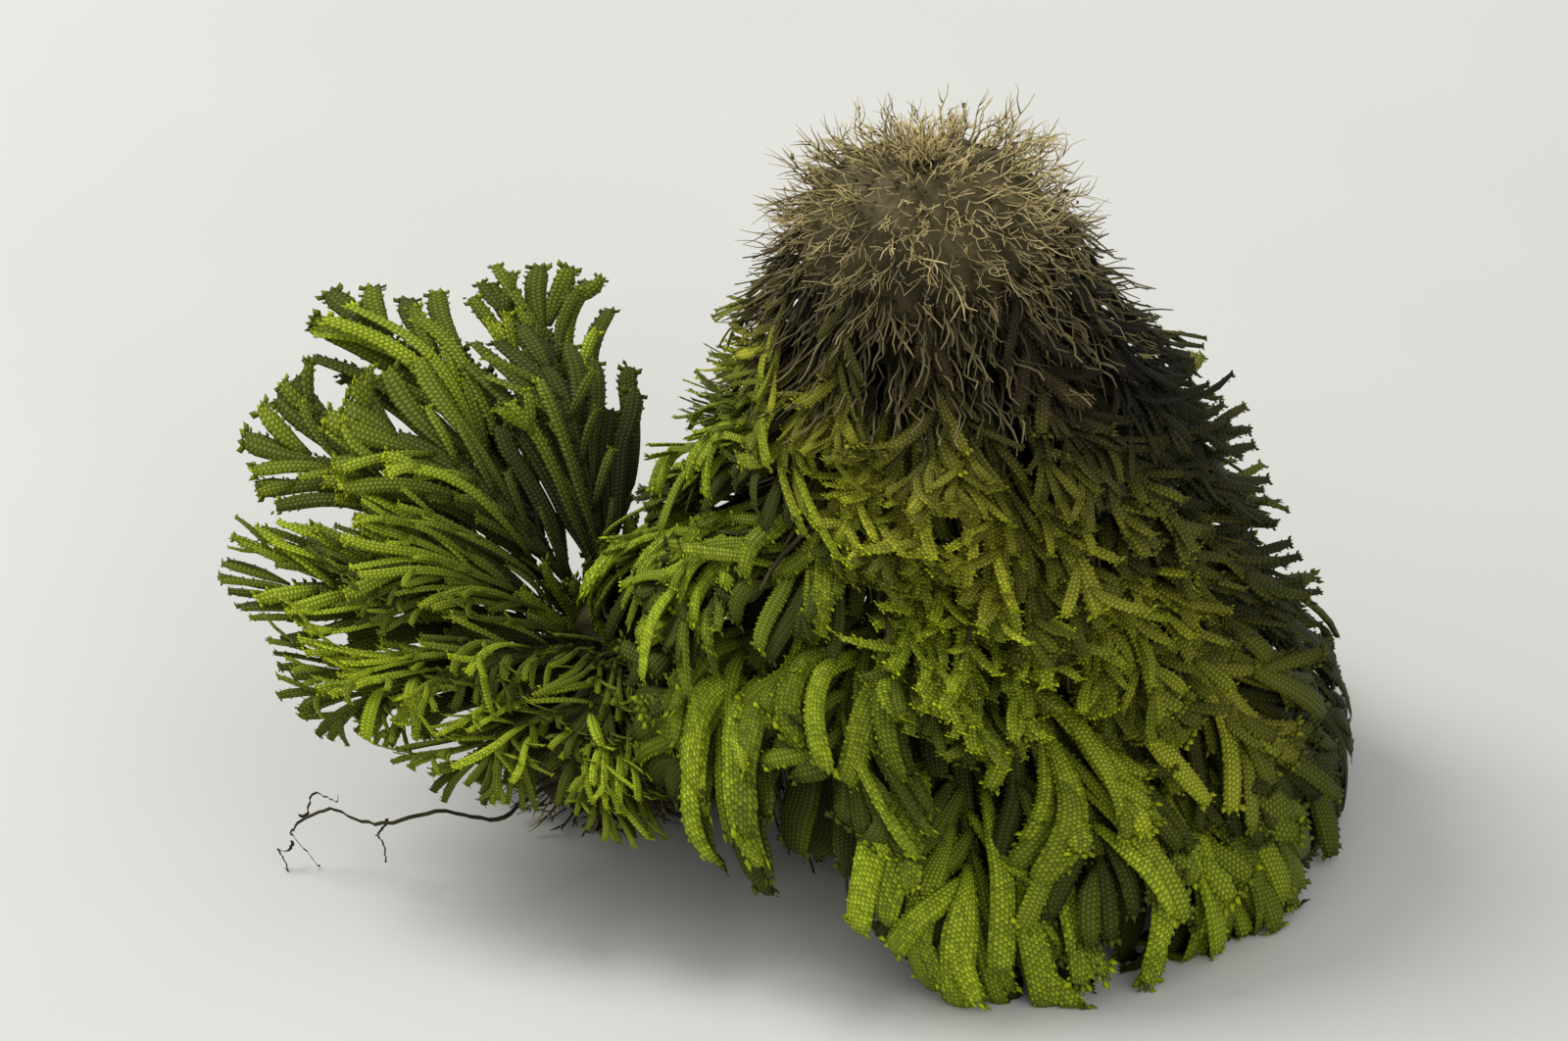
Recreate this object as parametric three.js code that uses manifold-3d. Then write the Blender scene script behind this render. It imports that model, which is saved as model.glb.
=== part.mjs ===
// A preserved club moss, in millimetres, +Z up, standing on z = 0.
//
// The plant is a forked, fibrous rootstock with two crowns. The main crown hangs face down
// like a mop: its neck of matted roots points up, and rings of fronds run down round it, the
// outer ones short, the inner ones long with their ends curled under. The side crown is a
// smaller half rosette on the left that lies face up. A frond is a thin arched fan: a stalk
// with flat leafy branchlets on both sides, all ending along one rounded edge.
//
// The fronds of a crown lie on nested sheets round its axis, so they never cross: a sheet is a
// profile curve that runs from the neck to the rim, moved inwards by the depth of its ring.

import * as THREE from "three";
import { mergeVertices } from "three/addons/utils/BufferGeometryUtils.js";
import Module from "manifold-3d";

const wasm = await Module();
wasm.setup();

const DEGREE = Math.PI / 180;

// Sizes of a frond
const branchletThickness = 0.9;
const branchletPitch = 7; // along the stalk, on each side
const slit = 0.35; // between neighbouring branchlets, at their ends
const tipLength = 2; // over which a branchlet narrows to its blunt end
const tipNarrowing = 0.78; // its width where that starts, as a share
const leastStep = 1.5; // between a branchlet's cross sections
const stalkWidth = 2.4;
const stalkStep = 11; // between cross sections of the bare stalk
const seatGap = 0.5; // between a frond's foot and the rootstock
const fanOverlap = 1.07; // of a fan's width to the share of its ring that it stands in
const fanTilt = 0.07; // one edge of a fan is raised, so it lies over its neighbour's

// Sizes of the rootstock
const neckRadius = 12.5;
const neckHeight = 8; // from its top to the foot of the outermost ring
const neckTop = 73.5; // above the surface
const neckSides = 16;
const branchRadius = 2.8;
const clumpRadius = 9; // of the clump that the side crown grows on
const neckRootlets = 56;
const clumpRootlets = 18;
const rootletRadius = 0.55;

// A number from 0 to 1 that is always the same for the same seed.
function chance(seed) {
  const wave = Math.sin(seed * 12.9898 + 4.1414) * 43758.5453;
  return wave - Math.floor(wave);
}

function between(seed, low, high) {
  return low + (high - low) * chance(seed);
}

function ease(x) {
  const t = Math.min(1, Math.max(0, x));
  return t * t * (3 - 2 * t);
}

// From 1 at the azimuth "centre" to 0 at "reach" degrees from it.
function towards(azimuth, centre, reach) {
  const apart = Math.abs(((((azimuth - centre) % 360) + 540) % 360) - 180);
  return ease(1 - apart / reach);
}

// A crown's foot is the top of its rootstock and its axis points to the open side. Azimuths
// are in degrees, 0 at +X and 90 at +Y. A profile starts at a radius and a height along the
// axis and turns from lean to lean, where a lean is its angle from the axis, positive outwards.
const mainCrown = {
  seed: 100,
  foot: new THREE.Vector3(13.6, 1.95, neckTop),
  axis: new THREE.Vector3(0.08, -0.02, -1).normalize(),
  sector: [0, 360],
  // The left side is shorter and spreads more, as it lies over the side crown.
  reach: (azimuth) =>
    1 - 0.46 * towards(azimuth, 180, 118) - 0.07 * towards(azimuth, 0, 75),
  profile(azimuth) {
    const reach = this.reach(azimuth);
    const left = towards(azimuth, 200, 95);
    const right = towards(azimuth, 0, 75);
    return {
      radius: neckRadius + 0.8,
      height: neckHeight,
      lean: 18 * DEGREE,
      arcs: [
        { length: 12, lean: 25 * DEGREE },
        { length: 14 * reach, lean: (31 + 33 * left) * DEGREE },
        { length: 34 * reach, lean: (37 + 25 * left) * DEGREE },
        { length: (52 + 34 * right) * reach, lean: (40 * left - 95) * DEGREE },
      ],
    };
  },
};

const sideCrown = {
  seed: 700,
  foot: new THREE.Vector3(-16.9, 2.95, 15),
  axis: new THREE.Vector3(0.1, -0.32, 0.94).normalize(),
  sector: [92, 280],
  // Its front is short and its back left long.
  reach: (azimuth) =>
    1 - 0.33 * towards(azimuth, 252, 75) + 0.14 * towards(azimuth, 138, 45),
  profile(azimuth) {
    const reach = this.reach(azimuth);
    return {
      radius: 6.5,
      height: 2,
      lean: 50 * DEGREE,
      arcs: [
        { length: 20 * reach, lean: 77 * DEGREE },
        { length: 22 * reach, lean: 96 * DEGREE },
      ],
    };
  },
};

// Rings of fronds, the outermost first: count of them, turned by turn degrees. They run from
// a distance along the profile to another, depth inside the outermost sheet, with pairs of
// branchlets, and their ends stand lift off the sheet. Hooked ones bend in more steps.
const rings = [
  { name: "main_1", count: 10, turn: 0, depth: 0, from: 0, to: 25, pairs: 2, lift: 1.5 },
  { name: "main_2", count: 10, turn: 18, depth: 3, from: 3, to: 38, pairs: 3, lift: 2 },
  { name: "main_3", count: 9, turn: 10, depth: 6, from: 6, to: 52, pairs: 4, lift: 2 },
  { name: "main_4", count: 9, turn: 30, depth: 9, from: 9, to: 67, pairs: 4, lift: 1 },
  { name: "main_5", count: 8, turn: 22, depth: 12, from: 12, to: 82, pairs: 4, lift: 0 },
  { name: "side_1", count: 7, turn: 0, depth: 0, from: 0, to: 38, pairs: 3, lift: 0 },
  { name: "side_2", count: 5, turn: 0, depth: 4, from: 2, to: 30, pairs: 3, lift: 1 },
];
const hooked = ["main_4", "main_5"];
const tones = { main_1: "brown", main_2: "olive", main_3: "olive" };
const crownOf = (ring) => (ring.name.startsWith("main") ? mainCrown : sideCrown);

// Where a profile is, a distance along it, on the sheet that lies depth inside it.
function follow(profile, depth, distance) {
  let lean = profile.lean;
  let radius = profile.radius - depth * Math.cos(lean);
  let height = profile.height + depth * Math.sin(lean);
  let left = distance;
  for (const [i, arc] of profile.arcs.entries()) {
    const turn = arc.lean - lean;
    const length = arc.length + depth * turn;
    const part = i === profile.arcs.length - 1 ? left : Math.min(left, length);
    if (part <= 0) break;
    const next = lean + (turn * part) / length;
    const bend = length / turn;
    radius += bend * (Math.cos(lean) - Math.cos(next));
    height += bend * (Math.sin(next) - Math.sin(lean));
    lean = next;
    left -= part;
  }
  return { radius, height, lean };
}

// The crown's own axes: out points to azimuth 0 and across to azimuth 90.
function crownAxes(crown) {
  const across = new THREE.Vector3(0, 1, 0);
  across.addScaledVector(crown.axis, -across.dot(crown.axis)).normalize();
  const out = new THREE.Vector3().crossVectors(across, crown.axis);
  if (out.x < 0) out.negate();
  return { out, across };
}

// A point of a crown's sheet, and the outward normal there.
function onSheet(crown, azimuth, depth, distance) {
  const { out, across } = crownAxes(crown);
  const at = follow(crown.profile(azimuth), depth, distance);
  const radial = out
    .multiplyScalar(Math.cos(azimuth * DEGREE))
    .addScaledVector(across, Math.sin(azimuth * DEGREE));
  const normal = radial
    .clone()
    .multiplyScalar(Math.cos(at.lean))
    .addScaledVector(crown.axis, -Math.sin(at.lean));
  const point = crown.foot
    .clone()
    .addScaledVector(crown.axis, at.height)
    .addScaledVector(radial, at.radius);
  return { point, normal };
}

// A plate of even thickness. faces are loops of point numbers, anticlockwise seen from
// outside, and place gives the middle of the plate and its normal at a point.
function plate(points, faces, place, turned) {
  const positions = [];
  const placed = points.map((p) => place(...p));
  for (const side of [0.5, -0.5]) {
    for (const { point, normal } of placed) {
      const p = point.clone().addScaledVector(normal, side * branchletThickness);
      positions.push(...p.toArray());
    }
  }
  const triangles = [];
  const add = (a, b, c) => triangles.push(...(turned ? [a, c, b] : [a, b, c]));
  const under = points.length;
  const edges = new Map();
  for (const face of faces) {
    face.forEach((p, i) => {
      const q = face[(i + 1) % face.length];
      edges.set(`${p},${q}`, [p, q]);
      if (i > 0 && i + 1 < face.length) {
        add(face[0], p, q);
        add(under + face[0], under + q, under + p);
      }
    });
  }
  for (const [p, q] of edges.values()) {
    if (!edges.has(`${q},${p}`)) {
      add(q, p, under + p);
      add(q, under + p, under + q);
    }
  }
  const geometry = new THREE.BufferGeometry();
  geometry.setAttribute("position", new THREE.Float32BufferAttribute(positions, 3));
  geometry.setIndex(triangles);
  return geometry;
}

// How far across a line from one point of the plan to another is, at a distance along.
function onLine(from, to, at) {
  return from[1] + ((to[1] - from[1]) * (at - from[0])) / (to[0] - from[0]);
}

// The flat plan of a frond as points [along, across, lift] and faces: a bare stalk, then
// branchlets on both sides that end along the fan's rounded edge.
function frondPlan({ length, bare, pairs, spacing, seed, bendStep }) {
  const points = [];
  const faces = [];
  const point = (along, across, lift = 0) => points.push([along, across, lift]) - 1;

  // The stalk's two edges. The branchlets of one side sit half a pitch further on.
  const stations = Math.max(1, Math.round(bare / stalkStep));
  const left = [];
  const right = [];
  for (const [edge, side, offset] of [
    [left, 1, 0],
    [right, -1, branchletPitch / 2],
  ]) {
    for (let i = 0; i < stations; i++) {
      edge.push(point((bare * i) / stations, (side * stalkWidth) / 2));
    }
    for (let i = 0; i <= pairs; i++) {
      const half = (stalkWidth / 2) * (1 - (0.4 * i) / pairs);
      edge.push(point(bare + offset + branchletPitch * i, side * half));
    }
  }
  for (let i = 0; i + 1 < left.length; i++) {
    faces.push([left[i], right[i], right[i + 1], left[i + 1]]);
  }

  // One branchlet, from two neighbouring points of an edge out to its blunt end. It bends at
  // the same stations as its neighbours and keeps between two lines that it shares with them,
  // so that it never crosses them. Its plus side has the larger across.
  const branchlet = (plus, minus, along, across, width, raise) => {
    const ends = [points[plus], points[minus]];
    const foot = Math.max(ends[0][0], ends[1][0]);
    const line = (i, at) => onLine(ends[i], [length, across + (0.5 - i) * spacing], at);
    const cuts = [];
    const early = []; // stations that only the side that starts first reaches
    const plusFirst = ends[0][0] < ends[1][0];
    const start = Math.min(ends[0][0], ends[1][0]);
    for (let at = length - bendStep; at > start + 1; at -= bendStep) {
      if (at >= along - tipLength - 1) continue;
      if (at > foot + leastStep) cuts.unshift([at, width]);
      else early.unshift(at);
    }
    if (along - tipLength > foot + 1) cuts.push([along - tipLength, width * tipNarrowing]);
    cuts.push([along, width / 2]);
    const side = early.map((at) =>
      plusFirst ? point(at, line(0, at) - slit / 2) : point(at, line(1, at) + slit / 2),
    );
    let last = plusFirst ? [...side.reverse(), plus, minus] : [plus, minus, ...side];
    for (const [at, wide] of cuts) {
      const middle = (line(0, at) + line(1, at)) / 2;
      const half = Math.min(wide, line(0, at) - line(1, at) - slit) / 2;
      const share = (at - foot) / (along - foot);
      const next = [half, -half].map((aside) => point(at, middle + aside, raise * share * share));
      // The loop starts at the point that sees all the others.
      const loop = [...last, next[1], next[0]];
      if (plusFirst) loop.unshift(...loop.splice(last.length - 1));
      faces.push(loop);
      last = next;
    }
  };

  const width = spacing - slit;
  for (let k = 0; k < pairs; k++) {
    const place = pairs - k;
    const rounding = (1.5 * place * place) / (pairs + 1);
    for (const side of [1, -1]) {
      const own = seed + 10 * k + side;
      const edge = side === 1 ? left : right;
      const ends = [edge[stations + k], edge[stations + k + 1]];
      if (side === -1) ends.reverse();
      const along = length - rounding + between(own, -1.6, 1.2);
      const wide = width * between(own + 3, 0.86, 1);
      branchlet(...ends, along, side * place * spacing, wide, between(own + 5, -0.4, 0.4));
    }
  }
  branchlet(left.at(-1), right.at(-1), length + between(seed, -1, 1.2), 0, width, 0);
  return { points, faces };
}

function frondGeometry(ring, ringNumber, index) {
  const { depth, from, to, pairs, count, name } = ring;
  const crown = crownOf(ring);
  const seed = crown.seed + 97 * ringNumber + 31 * index;
  const [first, last] = crown.sector;
  const share = (last - first) / count;
  const azimuth = first + ring.turn + share * (index + 0.5);
  const length = to - from - seatGap + between(seed + 1, -2, 1.5);
  const fan = branchletPitch * (pairs + 0.7) + 2;
  const fanStart = to - 14;
  const distanceAt = (along, turned) =>
    from + seatGap + along * crown.reach(azimuth + turned);
  const radiusAt = (along) => follow(crown.profile(azimuth), depth, distanceAt(along, 0)).radius;
  const wide = radiusAt(fanStart - from);
  const spacing = (fanOverlap * share * DEGREE * wide) / (2 * pairs + 1);
  const { points, faces } = frondPlan({
    length,
    bare: Math.max(1.5, length - fan),
    pairs,
    spacing: Math.min(3.3, spacing),
    seed,
    bendStep: hooked.includes(name) ? 6 : 8,
  });
  const tilt = fanTilt * between(seed + 2, 0.8, 1.2);

  const place = (along, across, lift) => {
    const bend = from + along > fanStart ? wide : Math.max(radiusAt(along), wide * 0.6);
    const turn = across / bend / DEGREE;
    const { point, normal } = onSheet(crown, azimuth + turn, depth, distanceAt(along, turn));
    const free = ease((along / length - 0.6) / 0.4);
    point.addScaledVector(normal, lift + tilt * across + ring.lift * free);
    // What would sink below the surface bends inwards and lies flat on it instead.
    const low = point.z - (branchletThickness / 2) * Math.abs(normal.z);
    if (low < 0) {
      const inwards = crown.foot.clone().sub(point).setZ(0).normalize();
      point.addScaledVector(inwards, -low * (1 - normal.dot(crown.axis)));
      normal.lerp(new THREE.Vector3(0, 0, -1), Math.min(1, -low / 2)).normalize();
      point.z = (branchletThickness / 2) * Math.abs(normal.z);
    }
    return { point, normal };
  };
  return plate(points, faces, place, crown.axis.z > 0);
}

// A geometry as a solid to join and cut, and back.
function toSolid(geometry) {
  const bare = new THREE.BufferGeometry();
  bare.setAttribute("position", geometry.getAttribute("position"));
  bare.setIndex(geometry.getIndex());
  const merged = mergeVertices(bare, 1e-4);
  return new wasm.Manifold(
    new wasm.Mesh({
      numProp: 3,
      vertProperties: new Float32Array(merged.attributes.position.array),
      triVerts: new Uint32Array(merged.index.array),
    }),
  );
}

function toGeometry(solid) {
  const mesh = solid.getMesh();
  const geometry = new THREE.BufferGeometry();
  geometry.setAttribute("position", new THREE.BufferAttribute(mesh.vertProperties, 3));
  geometry.setIndex(new THREE.BufferAttribute(mesh.triVerts, 1));
  return geometry;
}

// A closed tube with a radius at each of its points.
function taperedTube(points, radii, sides) {
  const curve = new THREE.CatmullRomCurve3(points);
  const steps = radii.length - 1;
  const frames = curve.computeFrenetFrames(steps, false);
  const positions = [];
  const triangles = [];
  for (let i = 0; i <= steps; i++) {
    const centre = curve.getPointAt(i / steps);
    for (let j = 0; j < sides; j++) {
      const angle = (2 * Math.PI * j) / sides;
      const p = centre
        .clone()
        .addScaledVector(frames.normals[i], radii[i] * Math.cos(angle))
        .addScaledVector(frames.binormals[i], radii[i] * Math.sin(angle));
      positions.push(...p.toArray());
      if (i < steps) {
        const a = i * sides + j;
        const b = i * sides + ((j + 1) % sides);
        triangles.push(a, b, b + sides, a, b + sides, a + sides);
      }
    }
  }
  for (let j = 1; j + 1 < sides; j++) {
    triangles.push(0, j + 1, j);
    triangles.push(steps * sides, steps * sides + j, steps * sides + j + 1);
  }
  const geometry = new THREE.BufferGeometry();
  geometry.setAttribute("position", new THREE.Float32BufferAttribute(positions, 3));
  geometry.setIndex(triangles);
  return geometry;
}

// A solid of revolution round a crown's axis from [radius, height] pairs, ridged by up to
// ridge of its radius.
function turnedSolid(crown, outline, ridge) {
  const { out, across } = crownAxes(crown);
  const positions = [];
  const triangles = [];
  outline.forEach(([radius, height], i) => {
    for (let j = 0; j < neckSides; j++) {
      const angle = (360 * (j + 0.5)) / neckSides;
      const wide = radius * (1 + between(crown.seed + j, -ridge, ridge));
      const p = crown.foot
        .clone()
        .addScaledVector(crown.axis, height)
        .addScaledVector(out, wide * Math.cos(angle * DEGREE))
        .addScaledVector(across, wide * Math.sin(angle * DEGREE));
      positions.push(...p.toArray());
      if (i + 1 < outline.length) {
        const a = i * neckSides + j;
        const b = i * neckSides + ((j + 1) % neckSides);
        triangles.push(a, b + neckSides, b, a, a + neckSides, b + neckSides);
      }
    }
  });
  const end = (outline.length - 1) * neckSides;
  for (let j = 1; j + 1 < neckSides; j++) {
    triangles.push(0, j, j + 1);
    triangles.push(end, end + j + 1, end + j);
  }
  if (crown.axis.z > 0) triangles.reverse();
  const geometry = new THREE.BufferGeometry();
  geometry.setAttribute("position", new THREE.Float32BufferAttribute(positions, 3));
  geometry.setIndex(triangles);
  return geometry;
}

// The ledges that a crown's rings stand on, as [radius, height] pairs: the rootstock steps in
// at the foot of each ring, and between two feet it keeps clear of the outer one.
function ledges(crown) {
  const own = rings.filter((ring) => crownOf(ring) === crown);
  const corner = (depth, distance) => {
    const clear = branchletThickness / 2 + 0.35;
    const { radius, height } = follow(crown.profile(0), depth + clear, distance);
    return [radius, height];
  };
  return own.flatMap((ring, i) => [
    ...(i > 0 ? [corner(own[i - 1].depth, ring.from)] : []),
    corner(ring.depth, ring.from),
  ]);
}

function rootlet(start, aim, length, seed) {
  const bent = aim.clone().add(
    new THREE.Vector3(
      between(seed + 1, -0.5, 0.5),
      between(seed + 2, -0.5, 0.5),
      between(seed + 3, -0.3, 0.5),
    ),
  );
  const middle = start.clone().addScaledVector(aim, length * 0.5);
  const end = middle.clone().addScaledVector(bent.normalize(), length * 0.5);
  const radii = [rootletRadius, rootletRadius, rootletRadius * 0.7];
  return taperedTube([start, middle, end], radii, 3);
}

// The rootstock: the main crown's ridged neck and stepped tip, a branch that runs from it
// under the short left fronds to the side crown's clump, and rootlets.
function rootstockGeometry() {
  const neck = [
    [neckRadius * 0.3, 0],
    [neckRadius * 0.68, 1.2],
    [neckRadius * 0.92, 4],
    [neckRadius, neckHeight],
  ];
  const steps = ledges(mainCrown);
  const tip = steps.at(-1);
  const parts = [
    turnedSolid(mainCrown, neck, 0.05),
    turnedSolid(mainCrown, [[neckRadius * 0.8, 5], ...steps, [branchRadius, tip[1] + 3]], 0),
  ];

  const { foot, axis } = mainCrown;
  const down = (distance) => foot.clone().addScaledVector(axis, distance);
  const lowest = new THREE.Vector3(7.1, 1.95, 5);
  const branch = [down(tip[1] - 2), down(tip[1] + 22), lowest, sideCrown.foot.clone().setZ(7)];
  const radii = [0.9, 1, 1, 1, 1.6].map((share) => share * branchRadius);
  parts.push(taperedTube(branch, radii, 8));

  const clump = [
    [clumpRadius * 0.8, -24],
    [clumpRadius * 1.1, -13],
    [clumpRadius, -6],
    [clumpRadius * 0.8, -1],
    ...ledges(sideCrown),
  ];
  parts.push(turnedSolid(sideCrown, [...clump, [2, clump.at(-1)[1] + 2]], 0.12));

  for (let i = 0; i < neckRootlets + clumpRootlets; i++) {
    const seed = 31 * i + 5;
    const onNeck = i < neckRootlets;
    const angle = (i * 137.5 + between(seed, -20, 20)) * DEGREE; // evenly scattered
    const round = new THREE.Vector3(Math.cos(angle), Math.sin(angle), 0);
    if (onNeck) {
      const height = 7 * (i / neckRootlets) ** 0.7;
      const start = down(height + 1).addScaledVector(round, neckRadius * (0.3 + 0.075 * height));
      const aim = round.setZ(between(seed + 9, 0.1, 0.9) - 0.04 * height).normalize();
      parts.push(rootlet(start, aim, between(seed + 3, 5, 9), seed + 11));
    } else {
      const start = sideCrown.foot.clone().addScaledVector(sideCrown.axis, between(seed + 7, -12, -6));
      const aim = round.setZ(-0.12).normalize();
      start.addScaledVector(aim, clumpRadius * 0.7);
      parts.push(rootlet(start, aim, between(seed + 3, 5, 8), seed + 11));
    }
  }

  const below = new THREE.BoxGeometry(400, 400, 60).translate(0, 0, -30);
  const whole = parts.map(toSolid).reduce((sum, solid) => sum.add(solid));
  return toGeometry(whole.subtract(toSolid(below)));
}

const colours = { green: 0x5f7a1e, olive: 0x6f6a2c, brown: 0x4f3d24 };
const materials = {};
for (const [name, color] of Object.entries(colours)) {
  materials[name] = new THREE.MeshStandardMaterial({ name, color, roughness: 0.85, metalness: 0 });
}

const clubMoss = new THREE.Group();
clubMoss.name = "preserved_club_moss";

function addPiece(name, geometry, tone) {
  const mesh = new THREE.Mesh(geometry, materials[tone].clone());
  mesh.name = name;
  clubMoss.add(mesh);
}

addPiece("rootstock", rootstockGeometry(), "brown");
rings.forEach((ring, ringNumber) => {
  for (let i = 0; i < ring.count; i++) {
    const geometry = frondGeometry(ring, ringNumber, i);
    addPiece(`${ring.name}_frond_${i + 1}`, geometry, tones[ring.name] ?? "green");
  }
});

export default clubMoss;
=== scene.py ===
"""Looks of a preserved club moss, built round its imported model.

The plant is a forked rootstock with two crowns. Each frond of the model is replaced by a finer
one on the same sheet: a stalk with scaly fingers, which carry small side lobes. The rootstock
gets a rough skin. Rootlets, old stems and twigs, short shoots and a stray root are added. Lengths
are in millimetres until a mesh is made, and angles in a crown are degrees.
"""

import math
from dataclasses import dataclass

import bpy
import numpy as np
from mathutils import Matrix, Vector


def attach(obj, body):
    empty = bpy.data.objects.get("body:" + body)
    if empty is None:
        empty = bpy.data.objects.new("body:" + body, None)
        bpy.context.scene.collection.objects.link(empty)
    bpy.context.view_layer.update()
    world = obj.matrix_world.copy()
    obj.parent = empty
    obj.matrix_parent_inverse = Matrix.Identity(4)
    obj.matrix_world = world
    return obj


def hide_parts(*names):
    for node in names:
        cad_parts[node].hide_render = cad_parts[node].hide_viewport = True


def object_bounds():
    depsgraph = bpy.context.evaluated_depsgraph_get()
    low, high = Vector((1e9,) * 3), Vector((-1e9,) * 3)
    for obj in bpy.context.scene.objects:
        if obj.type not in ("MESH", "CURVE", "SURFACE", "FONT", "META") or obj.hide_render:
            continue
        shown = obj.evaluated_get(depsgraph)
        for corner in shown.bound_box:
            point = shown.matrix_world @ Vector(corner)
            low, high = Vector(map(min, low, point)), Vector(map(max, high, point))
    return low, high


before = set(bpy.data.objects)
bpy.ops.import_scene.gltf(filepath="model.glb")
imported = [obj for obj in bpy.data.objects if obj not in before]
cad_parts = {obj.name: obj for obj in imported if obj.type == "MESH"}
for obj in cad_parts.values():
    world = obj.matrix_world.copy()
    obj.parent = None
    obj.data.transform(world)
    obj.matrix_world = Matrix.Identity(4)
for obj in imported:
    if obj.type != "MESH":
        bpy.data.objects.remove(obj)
cad_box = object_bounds()

MM = 0.001

CAMERA_ELEVATION = 30
CAMERA_DISTANCE = 1.1
CAMERA_AIM = (0, 0, 0.0335)
FRAME_WIDTH = 0.158  # that the frame takes in at the aim

# Sizes of a frond, as in the model
PLATE = 0.9
PITCH = 7  # between fingers along the stalk, on each side
SLIT = 0.35
STALK_WIDTH = 2.4
SEAT_GAP = 0.5
FAN_OVERLAP = 1.07
FAN_TILT = 0.07
WIDEST_SPACING = 3.3
FAN_REACH = 14  # of its length
FAN_ROUNDING = 1.5

# Sizes of the rootstock, as in the model
NECK_RADIUS = 12.5
NECK_HEIGHT = 8
NECK_TOP = 73.5

GOLDEN_ANGLE = 137.508  # in degrees; it spreads any number of things evenly round an axis


def chance(seed):
    """A number from 0 to 1 that is always the same for the same seed."""
    wave = np.sin(np.asarray(seed, float) * 12.9898 + 4.1414) * 43758.5453
    return wave - np.floor(wave)


def between(seed, low, high):
    return low + (high - low) * chance(seed)


def ease(x):
    t = np.clip(x, 0, 1)
    return t * t * (3 - 2 * t)


def towards(azimuth, centre, reach):
    """From 1 at the azimuth centre to 0 at reach degrees from it."""
    apart = np.abs((azimuth - centre + 180) % 360 - 180)
    return ease(1 - apart / reach)


def unit(vectors):
    vectors = np.asarray(vectors, float)
    return vectors / np.linalg.norm(vectors, axis=-1, keepdims=True)


# The crowns and their sheets

class Crown:
    """A crown's foot is the top of its rootstock and its axis points to the open side. Its
    profile is a first radius, height and lean in degrees, and arcs as (length, last lean)."""

    def __init__(self, seed, foot, axis, sector):
        self.seed = seed
        self.foot = np.array(foot, float)
        self.axis = unit(axis)
        self.sector = sector
        self.across = unit(np.array((0, 1, 0)) - self.axis * self.axis[1])
        out = np.cross(self.across, self.axis)
        self.out = out if out[0] > 0 else -out

    def radial(self, turn):
        """Ways straight out from the axis, at a turn in radians."""
        turn = np.asarray(turn)[..., None]
        return self.out * np.cos(turn) + self.across * np.sin(turn)

    def follow(self, azimuth, depth, distance):
        """Radius, height and lean of the profile, on the sheet that lies depth inside it."""
        radius, height, lean, arcs = self.profile(azimuth)
        lean = np.radians(lean) + 0 * azimuth
        radius = radius - depth * np.cos(lean)
        height = height + depth * np.sin(lean)
        left = distance
        for i, (length, end) in enumerate(arcs):
            turn = np.radians(end) - lean
            turn = np.where(np.abs(turn) < 1e-9, 1e-9, turn)
            length = length + depth * turn
            part = left if i == len(arcs) - 1 else np.minimum(left, length)
            part = np.maximum(part, 0)
            following = lean + turn * part / length
            bend = length / turn
            radius = radius + bend * (np.cos(lean) - np.cos(following))
            height = height + bend * (np.sin(following) - np.sin(lean))
            lean = following
            left = left - part
        return radius, height, lean

    def sheet(self, azimuth, depth, distance):
        """Points of the sheet and its outward normals there."""
        azimuth = np.asarray(azimuth, float)
        radius, height, lean = self.follow(azimuth, depth, distance)
        radial = self.radial(np.radians(azimuth))
        normal = radial * np.cos(lean)[:, None] - self.axis * np.sin(lean)[:, None]
        point = self.foot + self.axis * height[:, None] + radial * radius[:, None]
        return point, normal


class MainCrown(Crown):
    """It hangs face down; its left side is shorter and spreads more."""

    def reach(self, azimuth):
        return 1 - 0.46 * towards(azimuth, 180, 118) - 0.07 * towards(azimuth, 0, 75)

    def profile(self, azimuth):
        reach = self.reach(azimuth)
        left = towards(azimuth, 200, 95)
        right = towards(azimuth, 0, 75)
        arcs = [
            (12, 25),
            (14 * reach, 31 + 33 * left),
            (34 * reach, 37 + 25 * left),
            ((52 + 34 * right) * reach, 40 * left - 95),
        ]
        return NECK_RADIUS + 0.8, NECK_HEIGHT, 18, arcs


class SideCrown(Crown):
    """It lies face up, with a short front and a long back left."""

    def reach(self, azimuth):
        return 1 - 0.33 * towards(azimuth, 252, 75) + 0.14 * towards(azimuth, 138, 45)

    def profile(self, azimuth):
        reach = self.reach(azimuth)
        return 6.5, 2, 50, [(20 * reach, 77), (22 * reach, 96)]


main_crown = MainCrown(100, (13.6, 1.95, NECK_TOP), (0.08, -0.02, -1), (0, 360))
side_crown = SideCrown(700, (-16.9, 2.95, 15), (0.1, -0.32, 0.94), (92, 280))


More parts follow.
